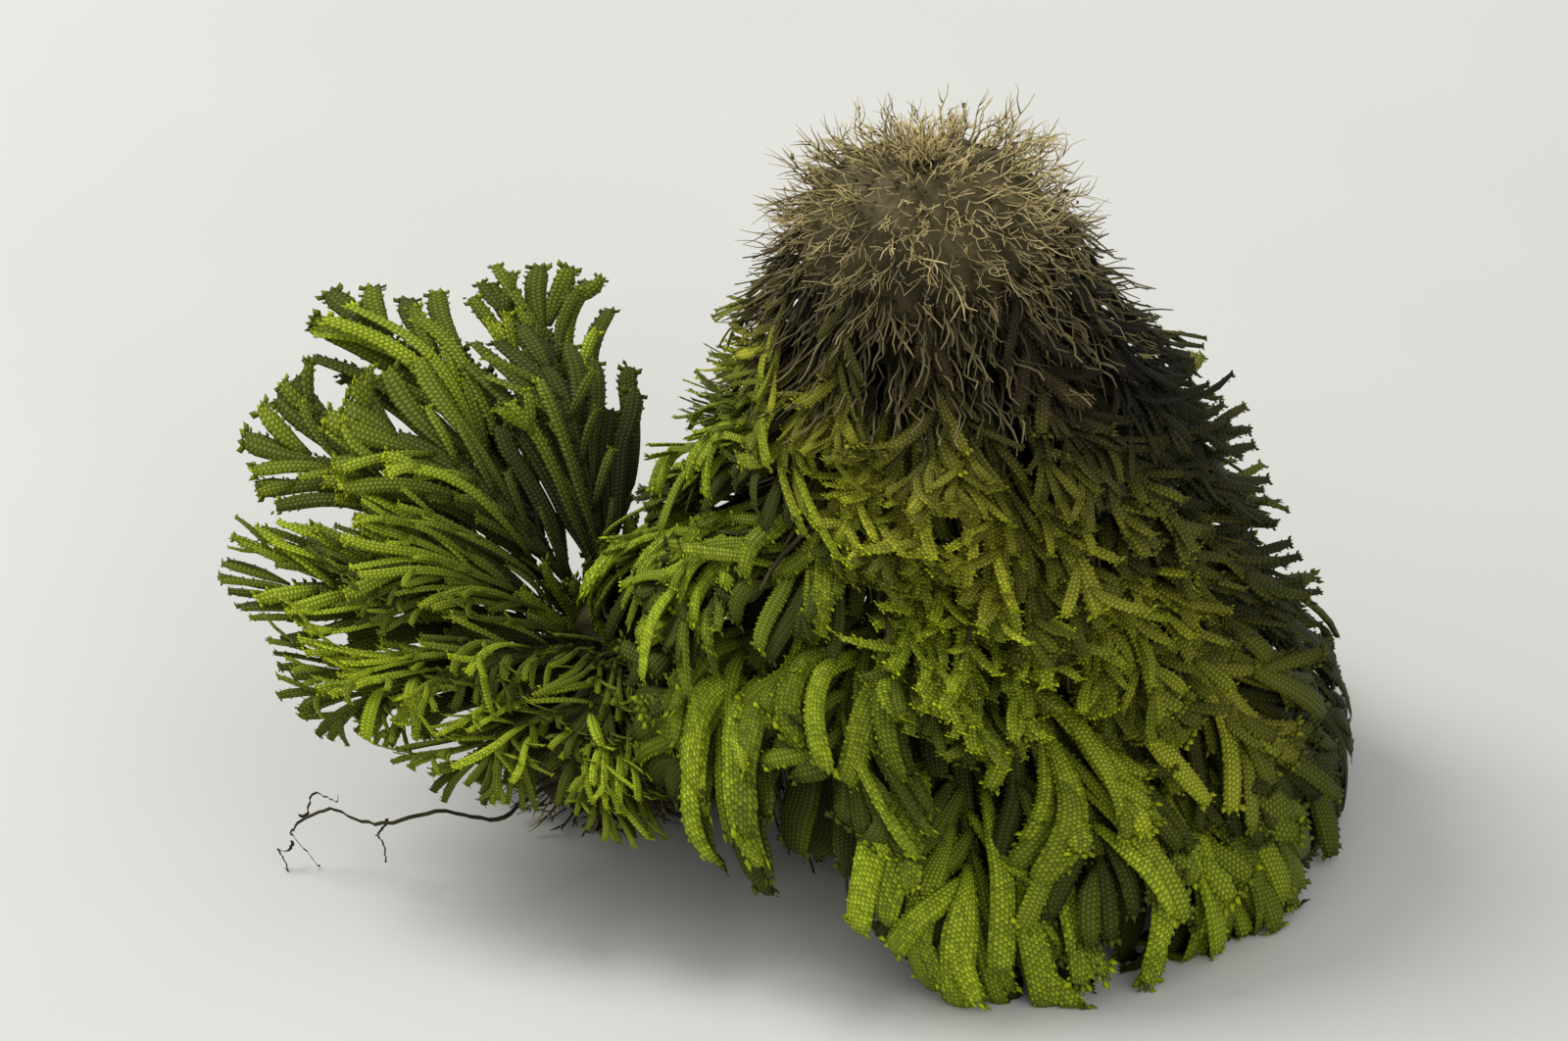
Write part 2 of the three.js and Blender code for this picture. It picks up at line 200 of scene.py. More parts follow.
@dataclass
class Ring:
    """One ring of fronds. The values up to lift are the model's; the others are its looks.

    shown: how far along a frond comes out from under the ring outside it
    split: fingers side by side in the width of one of the model's, base_light how light they are, a painted
    shade for the lower layer under the cover fingers
    cover: share of the gaps between fingers that another one lies over, of cover_width
    lobe_gap: between the side lobes of a finger, of lobe_length, that rise by lobe_rise; their
        width is the share lobe_width of the finger's
    fork: share of the fingers that end in a fork
    twig_length: of the twigs that hide the stalk
    under: share of the gaps that a finger lies behind, under_spread times as far aside
    shadow: how light the deepest parts are, where the outermost are 1
    arch, bow, curl: most that fingers arch and bow aside and that their ends stand up
    pitch: between the scale leaves at a finger's edges
    lime, leaf: how lime the tips are, and how large the scale leaves
    elsewhere: the centre and reach of the azimuths that have other looks, and those looks
    """

    name: str
    count: int
    turn: float
    depth: float
    begin: float
    end: float
    pairs: int
    lift: float
    shown: float
    tone: str
    looks: dict
    elsewhere: tuple = None

    @property
    def crown(self):
        return main_crown if self.name.startswith("main") else side_crown

    def looks_at(self, azimuth):
        if self.elsewhere:
            centre, reach, looks = self.elsewhere
            if towards(azimuth, centre, reach) > 0:
                return looks
        return self.looks


SHAGGY = dict(
    split=2, base_light=0.8, cover=0, cover_width=1, under=0, under_spread=1, shadow=0.45,
    lobe_gap=3, lobe_length=5, lobe_rise=1.9, lobe_width=0.8, fork=0.2, twig_length=6,
    arch=0.8, bow=0.9, curl=1.4, pitch=1.1, lime=0.5, leaf=0.75,
)
SHINGLED = dict(
    split=1, base_light=0.42, cover=0.8, cover_width=0.82, under=0.3, under_spread=1.2, shadow=0.14,
    lobe_gap=3.3, lobe_length=4.8, lobe_rise=2.8, lobe_width=0.66, fork=0.6, twig_length=6,
    arch=1.4, bow=1.2, curl=2.4, pitch=0.95, lime=1.3, leaf=0.75,
)
SMOOTH = dict(
    split=1, base_light=0.2, cover=0.8, cover_width=1, under=0.6, under_spread=1.4, shadow=0.05,
    lobe_gap=16, lobe_length=5, lobe_rise=1.4, lobe_width=0.8, fork=0.2, twig_length=14,
    arch=3.6, bow=2.2, curl=1.8, pitch=0.8, lime=0.35, leaf=0.6,
)
LOWEST = dict(SMOOTH, under=1, under_spread=1.5)
SPREAD = dict(
    split=2, base_light=0.55, cover=0.9, cover_width=0.95, under=1, under_spread=1.25, shadow=0.1,
    lobe_gap=12, lobe_length=4, lobe_rise=1.6, lobe_width=0.85, fork=0.35, twig_length=8,
    arch=1.4, bow=0.9, curl=1.8, pitch=1.05, lime=0.8, leaf=0.8,
)
BROAD = dict(
    SPREAD, split=1, base_light=0.65, cover=0.35, cover_width=0.75, under=0.7, under_spread=1.4,
    lobe_gap=20, fork=0.25, pitch=0.85, leaf=0.65,
)

RINGS = [
    Ring("main_1", 10, 0, 0, 0, 25, 2, 1.5, 0, "brown", SHAGGY),
    Ring("main_2", 10, 18, 3, 3, 38, 3, 2, 14, "olive", SHINGLED, (216, 10, SMOOTH)),
    Ring("main_3", 9, 10, 6, 6, 52, 4, 2, 24, "olive", SHINGLED, (210, 30, SMOOTH)),
    Ring("main_4", 9, 30, 9, 9, 67, 4, 1, 35, "green", SMOOTH),
    Ring("main_5", 8, 22, 12, 12, 82, 4, 0, 46, "green", LOWEST),
    Ring("side_1", 7, 0, 0, 0, 38, 3, 0, 2, "green", SPREAD, (120, 45, BROAD)),
    Ring("side_2", 5, 0, 4, 2, 30, 3, 1, 2, "green", SPREAD, (120, 45, BROAD)),
]


# Meshes: a mesh is built as a list of (vertices, triangles, growth), where growth gives each
# vertex its age, its nearness to a growing tip, its lightness, which holds random tone and
# painted shade, and its place on a scale leaf.
# A frond's vertices have three more values, for the weave of its scale leaves: how many leaves
# along the finger and across it the place is, and how much the weave shows there.

def scale_shape(outline, ridge):
    """A closed scale leaf over an outline: vertices as (along, across, up), and triangles."""
    count = len(outline)
    vertices = np.array([*outline, ridge], float)
    top = [(count, i, (i + 1) % count) for i in range(count)]
    bottom = [(0, i + 1, i) for i in range(1, count - 1)]
    return vertices, np.array(top + bottom)


SCALE = scale_shape([(0, 0, 0), (0.45, -0.5, 0.15), (1, 0, 0.5), (0.45, 0.5, 0.15)], (0.5, 0, 0.8))
RIBBON = np.array([(1, 0), (0.6, 0.75), (0, 1), (-0.6, 0.75), (-1, 0), (0, -0.7)])  # across, up


def placed_scales(shape, base, along, up, length, width, thickness, growth):
    """Copies of a scale leaf, each at its base, pointing along, with up away from the finger."""
    vertices, triangles = shape
    across = np.cross(up, along)
    offsets = (
        vertices[None, :, 0, None] * (along * length[:, None])[:, None]
        + vertices[None, :, 1, None] * (across * width[:, None])[:, None]
        + vertices[None, :, 2, None] * (up * thickness[:, None])[:, None]
    )
    points = base[:, None] + offsets
    count = len(vertices)
    faces = triangles[None] + count * np.arange(len(base))[:, None, None]
    values = np.repeat(growth[:, None], count, axis=1)
    values[:, :, 3] = vertices[:, 0]
    values = np.pad(values.reshape(-1, 4), ((0, 0), (0, 3)))
    return points.reshape(-1, 3), faces.reshape(-1, 3), values


def loft(rims, values):
    """A closed tube through rims of equally many points, each rim with one growth value."""
    steps, sides, _ = rims.shape
    a = (np.arange(steps - 1)[:, None] * sides + np.arange(sides)).reshape(-1)
    b = (np.arange(steps - 1)[:, None] * sides + (np.arange(sides) + 1) % sides).reshape(-1)
    walls = np.concatenate(
        [np.stack([a, b, b + sides], 1), np.stack([a, b + sides, a + sides], 1)]
    )
    fan = np.arange(1, sides - 1)
    first = np.stack([0 * fan, fan + 1, fan], 1)
    last = np.stack([0 * fan, fan, fan + 1], 1) + (steps - 1) * sides
    faces = np.concatenate([walls, first, last])
    return rims.reshape(-1, 3), faces, np.repeat(values, sides, axis=0)


def joined(parts):
    points, faces, values = [], [], []
    start = 0
    for vertices, triangles, growth in parts:
        points.append(vertices)
        faces.append(triangles + start)
        values.append(growth)
        start += len(vertices)
    return np.concatenate(points), np.concatenate(faces), np.concatenate(values)


LOWEST_POINT = 0.03  # above the surface


def add_growth(mesh, growth):
    attribute = mesh.attributes.new("growth", "FLOAT_COLOR", "POINT")
    attribute.data.foreach_set("color", growth.astype(np.float32).reshape(-1))


def mesh_object(name, points, triangles, growth, material):
    """A mesh object from points in millimetres, with its growth as vertex attributes."""
    points[:, 2] = np.maximum(points[:, 2], LOWEST_POINT)
    mesh = bpy.data.meshes.new(name)
    mesh.vertices.add(len(points))
    mesh.vertices.foreach_set("co", (points * MM).astype(np.float32).reshape(-1))
    mesh.loops.add(triangles.size)
    mesh.loops.foreach_set("vertex_index", triangles.astype(np.int32).reshape(-1))
    mesh.polygons.add(len(triangles))
    mesh.polygons.foreach_set("loop_start", np.arange(0, triangles.size, 3, dtype=np.int32))
    mesh.polygons.foreach_set("use_smooth", np.ones(len(triangles), bool))
    add_growth(mesh, growth[:, :4])
    if growth.shape[1] > 4:
        attribute = mesh.attributes.new("weave", "FLOAT_VECTOR", "POINT")
        attribute.data.foreach_set("vector", growth[:, 4:].astype(np.float32).reshape(-1))
    mesh.update(calc_edges=True)
    mesh.validate()
    mesh.materials.append(material)
    piece = bpy.data.objects.new(name, mesh)
    bpy.context.scene.collection.objects.link(piece)
    return piece


# Fingers: the scaly strips that a frond ends in, in the flat plan of a frond as (along,
# across, height).

CORE_STEP = 1.4
CORE_SHARE = 0.86  # of a finger's width, without the scale leaves at its edges
CORE_THICKNESS = 0.17  # of its width, over its middle
WEAVE_PITCH = 0.47  # between scale leaves
WEAVE_SLANT = 0.4  # how far a row's edges lag behind its middle, in leaves


class Finger:
    """A strip from start to end. bow moves its middle and sway its end sideways, arch lifts its
    middle and curl its end, and roll turns its end, in radians. It is bare up to the share bare
    of its length, and its foot is the share slim as wide as its middle."""

    bow = sway = arch = curl = roll = bare = 0
    tip = light = 1
    slim = 0.6

    def __init__(self, start, end, width, seed, looks, **shape):
        self.start = np.array(start, float)
        self.end = np.array(end, float)
        self.length = np.linalg.norm(self.end - self.start)
        self.width = width
        self.seed = seed
        self.looks = looks
        vars(self).update(shape)

    def at(self, t):
        """Points of the middle line, and the directions ahead, across and up there."""
        t = np.asarray(t, float)[:, None]
        run = self.end - self.start
        side = unit(np.array((-run[1], run[0], 0)))
        up = np.array((0, 0, 1.0))
        crown = 4 * t * (1 - t)  # 1 at the middle and 0 at both ends
        middle = (
            self.start
            + run * t
            + side * (self.bow * crown + self.sway * t**2)
            + up * (self.arch * crown + self.curl * t**2)
        )
        ahead = (
            run
            + side * (self.bow * 4 * (1 - 2 * t) + self.sway * 2 * t)
            + up * (self.arch * 4 * (1 - 2 * t) + self.curl * 2 * t)
        )
        ahead = unit(ahead)
        flat_side = unit(np.stack([-ahead[:, 1], ahead[:, 0], 0 * ahead[:, 0]], 1))
        lifted = np.cross(ahead, flat_side)
        turn = self.roll * t
        across = flat_side * np.cos(turn) + lifted * np.sin(turn)
        return middle, ahead, across, np.cross(ahead, across)

    def wide(self, t):
        swell = self.slim + (1 - self.slim) * ease(t / 0.45)
        return self.width * swell * (1 - 0.35 * ease((t - 0.88) / 0.12))

    def growth(self, t, lightness):
        """The age here is only how much older this finger is than its place in the frond."""
        reach = min(0.4, 2.2 / self.length)
        tip = self.tip * ease((t - 1 + reach) / reach)
        older = between(self.seed + 4, -0.06, 0.06) + 0 * t
        return np.stack([older, tip, self.light * lightness + 0 * t, 0 * t], 1)

    def core(self):
        steps = max(3, round(self.length / CORE_STEP))
        t = np.linspace(0, 0.98, steps + 1)
        middle, _, across, up = self.at(t)
        half = self.wide(t)[:, None, None] * CORE_SHARE / 2
        rims = (
            middle[:, None]
            + half * RIBBON[None, :, 0, None] * across[:, None]
            + CORE_THICKNESS * self.width * RIBBON[None, :, 1, None] * up[:, None]
        )
        points, faces, growth = loft(rims, self.growth(t, between(self.seed + 5, 0.35, 0.8)))
        weave = np.zeros((len(points), 3))
        across_share = np.tile(RIBBON[:, 0], steps + 1)
        rows = max(3, round(self.width / WEAVE_PITCH))
        rise = np.repeat(t * self.length / WEAVE_PITCH, len(RIBBON))
        weave[:, 0] = rise - WEAVE_SLANT * np.abs(across_share)
        weave[:, 1] = (across_share + 1) / 2 * rows
        weave[:, 2] = np.tile(RIBBON[:, 1] >= 0, steps + 1)
        return points, faces, np.hstack([growth, weave])

    def scales(self):
        """Scale leaves along both edges and at the blunt end."""
        count = max(3, round(self.length / self.looks["pitch"]))
        index = np.arange(round(count * self.bare), count)
        parts = []
        for side in (1, -1):
            seeds = self.seed + 7.31 * index + 3.7 * side
            t = (index + 0.5 + 0.25 * side) / count
            middle, ahead, across, up = self.at(t)
            wide = self.wide(t)[:, None]
            spread = np.radians(between(seeds + 1, 25, 55))[:, None]
            slope = between(seeds + 2, -0.25, 0.3)[:, None]
            along = unit(ahead * np.cos(spread) + side * across * np.sin(spread) + up * slope)
            base = middle + side * across * wide * CORE_SHARE * 0.36 + up * wide * 0.04
            parts.append(self.leaves(t, seeds, base, along, up, 0.95 * self.looks["leaf"]))
        if self.tip:
            seeds = self.seed + np.arange(4) * 3.1
            t = np.full(4, 0.95)
            middle, ahead, across, up = self.at(t)
            place = np.array((-0.36, -0.12, 0.12, 0.36))[:, None]
            along = unit(ahead + across * place * 1.5 + up * between(seeds, -0.2, 0.5)[:, None])
            base = middle + across * place * self.wide(t)[:, None]
            parts.append(self.leaves(t + 0.05, seeds, base, along, up, 1.1))
        return parts

    def leaves(self, t, seeds, base, along, up, size):
        level = unit(np.cross(along, np.cross(up, along)))
        length = size * min(1, self.width / 2.2) * between(seeds + 3, 0.8, 1.15)
        growth = self.growth(t, between(seeds, 0.2, 1))
        return placed_scales(SCALE, base, along, level, length, 0.62 * length, 0.22 * length, growth)

    def mesh(self):
        return [self.core(), *self.scales()]


def within_box(points):
    """Points squeezed softly, so that none is over 2 mm outside the model's box."""
    low, high = np.array(cad_box) / MM
    for side, limit in ((-1, low), (1, high)):
        beyond = np.maximum(0, side * (points - limit) + 1)
        points = points - side * (beyond - 3 * (1 - np.exp(-beyond / 3)))
    return points


AGE_DISTANCES = [0, 9, 20, 31, 40, 57, 75]  # from the neck
DISTANCE_AGES = [0, 0.1, 0.42, 0.52, 0.7, 0.8, 1]
TWIG_PITCH = 2.3  # along a stalk


class Frond:
    """A frond of the model: the sheet that it lies on, and its fingers."""

    def __init__(self, ring, number, index):
        crown = ring.crown
        self.ring = ring
        self.crown = crown
        self.name = f"{ring.name}_frond_{index + 1}"
        self.seed = crown.seed + 97 * number + 31 * index
        first, last = crown.sector
        share = (last - first) / ring.count
        self.azimuth = first + ring.turn + share * (index + 0.5)
        self.looks = ring.looks_at(self.azimuth)
        self.length = ring.end - ring.begin - SEAT_GAP + between(self.seed + 1, -2, 1.5)
        self.bare = max(1.5, self.length - (PITCH * (ring.pairs + 0.7) + 2))
        self.spine = self.bare + PITCH * ring.pairs
        self.fan_start = ring.end - FAN_REACH
        self.fan_radius = self.radius_at(np.array([self.fan_start - ring.begin]))[0]
        spacing = FAN_OVERLAP * np.radians(share) * self.fan_radius / (2 * ring.pairs + 1)
        self.spacing = min(WIDEST_SPACING, spacing)
        self.tilt = FAN_TILT * between(self.seed + 2, 0.8, 1.2)
        self.waves = between(self.seed + 5 + np.arange(4), 0, 2 * np.pi)

    def radius_at(self, along):
        azimuth = self.azimuth + 0 * along
        distance = self.ring.begin + SEAT_GAP + along * self.crown.reach(azimuth)
        return self.crown.follow(azimuth, self.ring.depth, distance)[0]

    def bend(self, flat):
        """Points of the flat plan, swayed a little and bent onto the sheet. What would sink
        below the surface bends inwards and lies on it, as in the model."""
        ring = self.ring
        along, across, height = flat.T
        one, two, three, four = self.waves
        loose = ease(along / self.length)
        sway = 0.7 * np.sin(along / 6 + across / 9 + one) + 0.4 * np.sin(along / 3.1 - across / 4 + two)
        heave = 0.6 * np.sin(along / 7 - across / 6 + three) + 0.3 * np.sin(along / 3.7 + across / 3 + four)
        across = across + sway * loose
        near = np.maximum(self.radius_at(along), self.fan_radius * 0.6)
        radius = np.where(ring.begin + along > self.fan_start, self.fan_radius, near)
        azimuth = self.azimuth + np.degrees(across / radius)
        distance = ring.begin + SEAT_GAP + along * self.crown.reach(azimuth)
        point, normal = self.crown.sheet(azimuth, ring.depth, distance)
        free = ease((along / self.length - 0.6) / 0.4)
        point += normal * (self.tilt * across + ring.lift * free)[:, None]
        low = np.minimum(0, point[:, 2] - PLATE / 2 * np.abs(normal[:, 2]))
        inwards = (self.crown.foot - point) * (1, 1, 0)
        inwards /= np.linalg.norm(inwards, axis=1)[:, None]
        slide = -low * (1 - normal @ self.crown.axis)
        press = np.minimum(1, -low / 2)
        point += inwards * slide[:, None]
        point[:, 2] = np.where(low < 0, PLATE / 2, point[:, 2])
        normal = unit(normal * (1 - press)[:, None] - press[:, None] * (0, 0, 1))
        raised = (height + heave * loose) * (1 - 0.75 * press)
        point += normal * (raised * self.face)[:, None]
        return within_box(point)

    @property
    def face(self):
        """Its scaly face is the one that shows: outside on the main crown, inside on the other."""
        return 1 if self.crown is main_crown else -1

    def age(self, along, azimuth):
        """From 0 at the neck to 1 at the furthest tips; the side crown is young all over."""
        if self.crown is side_crown:
            return 0.74 + 0.26 * along / self.length + between(self.seed + 4, -0.06, 0.06)
        older = 0.2 * towards(azimuth, 330, 55) - 0.2 * towards(azimuth, 205, 80)
        distance = self.ring.begin + along
        found = np.interp(distance, AGE_DISTANCES, DISTANCE_AGES) - older
        return np.clip(found, 0, 1) + between(self.seed + 4, -0.05, 0.05)

    def line_across(self, base, aside, at):
        """Where across a line is, from a base at the stalk to the fan's edge."""
        return base[1] + (aside - base[1]) * (at - base[0]) / (self.length - base[0])

    def tip_across(self, near, far, side, place, at):
        """The middle, at a tip, between the two lines that the model's branchlet keeps to."""
        aside = side * place * self.spacing
        one = self.line_across(near, aside + side * self.spacing / 2, at)
        two = self.line_across(far, aside - side * self.spacing / 2, at)
        return (one + two) / 2

    def rounding(self, place):
        """How much shorter the fan is, so many spacings from its middle."""
        return FAN_ROUNDING * place**2 / (self.ring.pairs + 1)

    def fingers(self):
        ring = self.ring
        # The fingers under the cover ones are darker by base_light, a painted shade.
        base_light = self.looks["base_light"]
        stalk = Finger(
            (0, 0, 0), (self.spine, 0, 0), STALK_WIDTH, self.seed, self.looks,
            tip=0, light=0.5, bare=min(1, ring.shown / self.spine),
        )
        found = [stalk]
        for k in range(ring.pairs):
            place = ring.pairs - k
            for side in (1, -1):
                own = self.seed + 10 * k + side
                first = self.bare + PITCH * k + (PITCH / 2 if side < 0 else 0)
                halves = [STALK_WIDTH / 2 * (1 - 0.4 * i / ring.pairs) for i in (k, k + 1)]
                end = self.length - self.rounding(place) + between(own, -1.6, 1.2)
                width = (self.spacing - SLIT) * between(own + 3, 0.86, 1)
                near = (first, side * halves[0])
                far = (first + PITCH, side * halves[1])
                aside = self.tip_across(near, far, side, place, end)
                start = (first + PITCH / 2, side * halves[1] * 0.6, 0)
                end = (end, aside, between(own + 5, -0.4, 0.4))
                found += self.split_finger(start, end, width, own, 0.35, base_light)
        end = (self.length + between(self.seed, -1, 1.2), 0, 0)
        width = self.spacing - SLIT
        found += self.split_finger((self.spine - 1, 0, 0), end, width, self.seed, 0.35, base_light)
        return found + self.cover_fingers() + self.twigs()

    def cover_fingers(self):
        """Fingers that lie over the gaps between the others, and begin nearer the neck."""
        ring = self.ring
        found = []
        for i in range(2 * ring.pairs):
            own = self.seed + 7.7 * i + 300
            aside = (i - ring.pairs + 0.5) * self.spacing
            end = self.length - self.rounding(aside / self.spacing) - between(own, 1, 8)
            start = max(self.bare * 0.7, end - between(own + 1, 15, 22))
            width = self.spacing * self.looks["cover_width"] * between(own + 2, 0.85, 1.05)
            if chance(own + 5) < self.looks["cover"]:
                first = (start, aside * 0.4, 0.5)
                last = (end, aside + between(own + 3, -1, 1), 1.1)
                found += self.split_finger(first, last, width, own, 1, 1)
            if chance(own + 6) < self.looks["under"]:
                first = (start * 0.6, aside * 0.35, -0.9)
                last = (end - 3, aside * self.looks["under_spread"], -1.3)
                # Fingers behind the gaps are darker, a painted shade for lying under the others.
                shape = dict(bare=0.7, tip=0.4, light=0.4)
                found.append(Finger(first, last, self.spacing * 1.1, own + 40, self.looks, **shape))
        return found

    def twigs(self):
        """Short twigs on both sides of the stalk, which hide it."""
        first = max(self.ring.shown - 4, 2)
        count = max(0, int((self.spine - first) / TWIG_PITCH))
        width = self.spacing * self.looks["cover_width"]
        found = []
        for i in range(count):
            own = self.seed + 9.1 * i + 500
            begin = first + TWIG_PITCH * i
            side = 1 if i % 2 else -1
            angle = np.radians(between(own, 14, 34)) * side
            length = self.looks["twig_length"] * between(own + 1, 0.75, 1.25)
            rise = between(own + 2, 0.9, 1.9)
            end = (begin + length * math.cos(angle), length * math.sin(angle), rise)
            twig = Finger(
                (begin, 0, 0.3), end, width * between(own + 3, 0.65, 0.85), own, self.looks,
                sway=between(own + 4, -0.6, 0.6), arch=between(own + 5, 0, 0.5) * self.looks["arch"],
                roll=between(own + 6, -0.6, 0.6), tip=0.7, light=between(own + 7, 0.6, 1.1),
            )
            found.append(twig)
        return found

    def split_finger(self, start, end, width, own, loose, light):
        """One finger, or some thinner ones side by side, with their forks and lobes."""
        looks = self.looks
        split = looks["split"]
        found = []
        for n in range(split):
            seed = own * 3.3 + 41 * n
            aside = (n + 0.5 - split / 2) * width / split
            last = np.array(end, float) + (between(seed, -1, 1), aside, between(seed + 1, -0.2, 0.5))
            finger = Finger(
                start, last, width / split * 1.1, seed, looks,
                bow=between(seed + 2, -1, 1) * looks["bow"] * loose,
                sway=between(seed + 3, -1, 1) * (0.6 + looks["bow"]) * loose,
                arch=between(seed + 4, 0.15, 1) * looks["arch"] * loose,
                curl=between(seed + 5, -0.4, 1) * looks["curl"] * loose,
                roll=between(seed + 6, -0.6, 0.6),
                light=light * between(seed + 7, 0.65, 1.15),
                slim=0.4, bare=0.4 if loose < 1 else 0,
            )
            found.append(finger)
            found += self.lobes(finger)
        return found

    def lobes(self, finger):
        """Small fingers that rise from one, by turns on its two sides, and its fork."""
        looks = self.looks
        found = []
        count = int(finger.length / looks["lobe_gap"])
        for i in range(1, count + 1):
            seed = finger.seed + 5.17 * i
            t = (i + between(seed, -0.3, 0.3)) / (count + 1)
            hidden = finger.start[0] + finger.length * t < self.ring.shown
            if hidden or finger.length * (1 - t) < 2.5:
                continue
            side = 1 if i % 2 else -1
            length = looks["lobe_length"] * between(seed + 1, 0.7, 1.2)
            angle = np.radians(between(seed + 2, 10, 38)) * side
            rise = looks["lobe_rise"] * between(seed + 3, 0.4, 1.25)
            found.append(self.side_finger(finger, t, length, angle, rise, looks["lobe_width"], seed))
        if chance(finger.seed + 9) < looks["fork"]:
            for side in (1, -1):
                seed = finger.seed + 13 * side
                length = min(0.45 * finger.length, between(seed, 3, 4.6))
                t = 1 - length / finger.length
                angle = np.radians(between(seed + 1, 14, 26)) * side
                rise = between(seed + 2, 0.1, 0.9)
                found.append(self.side_finger(finger, t, length, angle, rise, 0.78, seed))
        return found

    def side_finger(self, finger, t, length, angle, rise, share, seed):
        middle, ahead, across, up = (v[0] for v in finger.at([t]))
        way = ahead * math.cos(angle) + across * math.sin(angle)
        start = middle + up * 0.1
        end = start + way * length
        end[2] += rise
        return Finger(
            start, end, finger.width * share, seed, self.looks, light=finger.light,
            bow=between(seed + 6, -0.3, 0.3), sway=between(seed + 7, -0.6, 0.6),
            curl=between(seed + 8, -0.2, 0.7), roll=between(seed + 9, -0.7, 0.7),
        )

    def build(self, material):
        parts = [part for finger in self.fingers() for part in finger.mesh()]
        points, triangles, growth = joined(parts)
        along, across, height = points.T
        azimuth = self.azimuth + np.degrees(across / self.fan_radius)
        age = self.age(along, azimuth)
        growth[:, 0] += age
        growth[:, 1] *= self.looks["lime"] * ease((age - 0.3) / 0.35)
        shadow = self.looks["shadow"]
        outer = np.maximum(ease((height + 0.8) / 2.9), 0.7 * ease((-height - 0.5) / 0.9))
        growth[:, 2] *= shadow + (1.1 - shadow) * outer
        if self.crown is main_crown:
            # Painted shade: the right side of the main crown, turned away from the key light, is darker,
            # and its tips are less lime.
            dark = towards(azimuth, 0, np.interp(self.ring.begin + along, [0, 60], [90, 62]))
            growth[:, 1] *= 1 - dark
            growth[:, 2] *= 1 - dark
        else:
            # Painted shade: the side crown is darker deep in its middle, near its foot; it is also darker
            # towards its back.
            growth[:, 2] *= 0.16 + 1.14 * ease((along - 4) / 24)
            growth[:, 2] *= 1 - 0.35 * towards(azimuth, 115, 75)
        return mesh_object(self.name + "_fine", self.bend(points), triangles[:, ::-1], growth, material)


# Materials

class Nodes:
    """A short way to write a material's node tree."""

    def __init__(self, name):
        self.material = bpy.data.materials.new(name)
        self.material.use_nodes = True
        self.tree = self.material.node_tree
        self.shader = self.tree.nodes["Principled BSDF"]

    def add(self, kind, inputs=None, **settings):
        node = self.tree.nodes.new(kind)
        for key, value in settings.items():
            setattr(node, key, value)
        for key, value in (inputs or {}).items():
            self.feed(node.inputs[key], value)
        return node

    def feed(self, socket, value):
        if isinstance(value, bpy.types.NodeSocket):
            self.tree.links.new(value, socket)
        else:
            socket.default_value = value

    def noise(self, scale, detail=2):
        place = self.add("ShaderNodeTexCoord").outputs["Object"]
        inputs = {"Vector": place, "Scale": scale, "Detail": detail}
        return self.add("ShaderNodeTexNoise", inputs).outputs["Fac"]

    def math(self, operation, a, b=0.0):
        return self.add("ShaderNodeMath", {0: a, 1: b}, operation=operation).outputs[0]

    def between(self, value, low, high):
        inputs = {"Value": value, "To Min": low, "To Max": high}
        return self.add("ShaderNodeMapRange", inputs).outputs["Result"]

    def ramp(self, value, stops):
        node = self.add("ShaderNodeValToRGB", {"Fac": value})
        elements = node.color_ramp.elements
        while len(elements) < len(stops):
            elements.new(0.5)
        for element, (place, colour) in zip(elements, stops):
            element.position = place
            element.color = linear(colour)
        return node.outputs["Color"]

    def mix(self, share, a, b, blend="MIX"):
        node = self.add("ShaderNodeMix", data_type="RGBA", blend_type=blend)
        self.feed(node.inputs[0], share)
        self.feed(node.inputs[6], a)
        self.feed(node.inputs[7], b)
        return node.outputs[2]

    def grey(self, value):
        """A grey of that brightness, to multiply a colour with."""
        inputs = {"Red": value, "Green": value, "Blue": value}
        return self.add("ShaderNodeCombineColor", inputs).outputs["Color"]

    def shaded(self, colour, brightness):
        return self.mix(1.0, colour, self.grey(brightness), "MULTIPLY")

    def growth(self):
        """A place's age, nearness to a tip, lightness and place on a scale leaf."""
        growth = self.add("ShaderNodeAttribute", attribute_name="growth").outputs
        parts = self.add("ShaderNodeSeparateColor", {"Color": growth["Color"]}).outputs
        return parts["Red"], parts["Green"], parts["Blue"], growth["Alpha"]

    def surface(self, colour, roughness, specular, relief, strength, depth):
        """The material with those values, and a bump from relief, depth metres deep."""
        sockets = self.shader.inputs
        self.feed(sockets["Base Color"], colour)
        self.feed(sockets["Roughness"], roughness)
        sockets["Specular IOR Level"].default_value = specular
        inputs = {"Height": relief, "Strength": strength, "Distance": depth}
        self.feed(sockets["Normal"], self.add("ShaderNodeBump", inputs).outputs["Normal"])
        return self.material


def linear(colour):
    """A colour written as RRGGBB, as the shader's linear values."""
    values = [int(colour[i : i + 2], 16) / 255 for i in (0, 2, 4)]
    return (*[v / 12.92 if v < 0.04045 else ((v + 0.055) / 1.055) ** 2.4 for v in values], 1)


# A frond's colours by its age, and that of its growing tips
AGES = [(0.0, "43371D"), (0.25, "63601C"), (0.5, "AAA928"), (0.72, "87960E"), (1.0, "8FA205")]
LIME = "B4C214"
SCALE_HIGHLIGHT = "A6AE4C"  # a painted highlight, the paler, duller green on the raised middle of a scale leaf
SCALE_HIGHLIGHT_SHARE = 0.8
LEAF_RISE = 0.8  # of a leaf's length in the weave, up to its highest place
